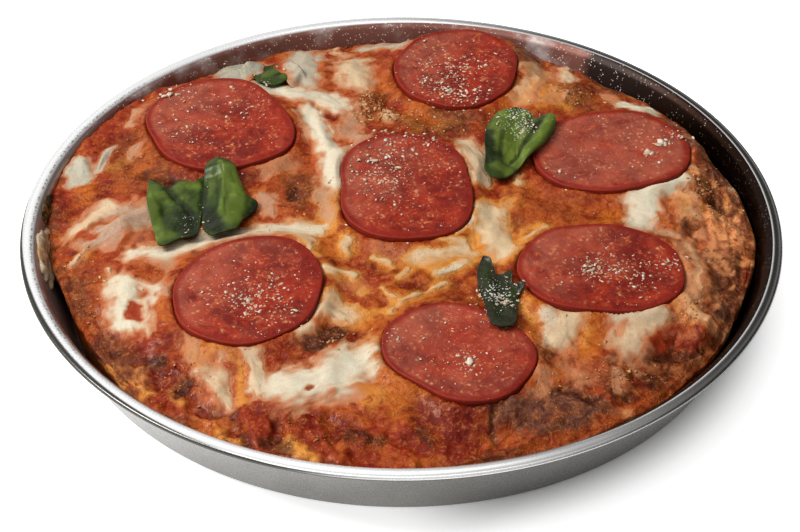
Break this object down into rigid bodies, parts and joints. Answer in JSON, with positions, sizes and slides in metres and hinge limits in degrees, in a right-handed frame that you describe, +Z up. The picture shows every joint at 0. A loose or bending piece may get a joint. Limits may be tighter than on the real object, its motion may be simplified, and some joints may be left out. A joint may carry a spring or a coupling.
{
  "type": "deep dish pizza in its pan",
  "caption": "Round deep dish pizza in its own flared steel pan with a rolled lip, topped with pepperoni slices, melted mozzarella and basil leaves.",
  "frame": {"origin": "middle of the pan's flat underside", "axes": "+Z up; +Y towards the far side of the pan as it is looked at, +X to its right"},
  "size_m": [0.2538, 0.2538, 0.0337],
  "materials": {
    "pan_steel": "polished steel with fine brushing, dull and stained inside",
    "baked_crust": "baked dough, orange-brown with dark browned crags",
    "sauce_and_cheese": "baked tomato sauce and cheese, oily, mottled red and orange",
    "pepperoni": "dark red cured sausage, oily, with pale fat and grated cheese",
    "mozzarella": "melted white cheese, soft gloss, oil-stained at the edges",
    "basil": "fresh green leaf, waxy, with wet dark ends",
    "baked_scraps": "thin scraps of cheese and herb baked onto the wall"
  },
  "bodies": {
    "root": {"pan": "pan_steel", "crust": "baked_crust", "sauce_and_cheese": "sauce_and_cheese", "pepperoni_1": "pepperoni", "pepperoni_2": "pepperoni", "pepperoni_3": "pepperoni", "pepperoni_4": "pepperoni", "pepperoni_5": "pepperoni", "pepperoni_6": "pepperoni", "pepperoni_7": "pepperoni", "mozzarella_back_peaks": "mozzarella", "mozzarella_back_arc": "mozzarella", "mozzarella_back_flow": "mozzarella", "mozzarella_back_soft": "mozzarella", "mozzarella_back_blob": "mozzarella", "mozzarella_rear_lump": "mozzarella", "mozzarella_left_blob": "mozzarella", "mozzarella_left_strip": "mozzarella", "mozzarella_left_bright": "mozzarella", "mozzarella_left_pink": "mozzarella", "mozzarella_left_front": "mozzarella", "mozzarella_band": "mozzarella", "mozzarella_crook": "mozzarella", "mozzarella_front_left": "mozzarella", "mozzarella_front_streak": "mozzarella", "mozzarella_front": "mozzarella", "mozzarella_middle": "mozzarella", "mozzarella_strands": "mozzarella", "mozzarella_middle_back": "mozzarella", "mozzarella_right_back": "mozzarella", "mozzarella_right_edge": "mozzarella", "mozzarella_right": "mozzarella", "mozzarella_right_front": "mozzarella", "mozzarella_right_pink": "mozzarella", "basil_left_outer": "basil", "basil_left_inner": "basil", "basil_right": "basil", "basil_front": "basil", "basil_back": "basil", "wall_cheese": "baked_scraps", "wall_herb": "baked_scraps"}
  },
  "joints": []
}
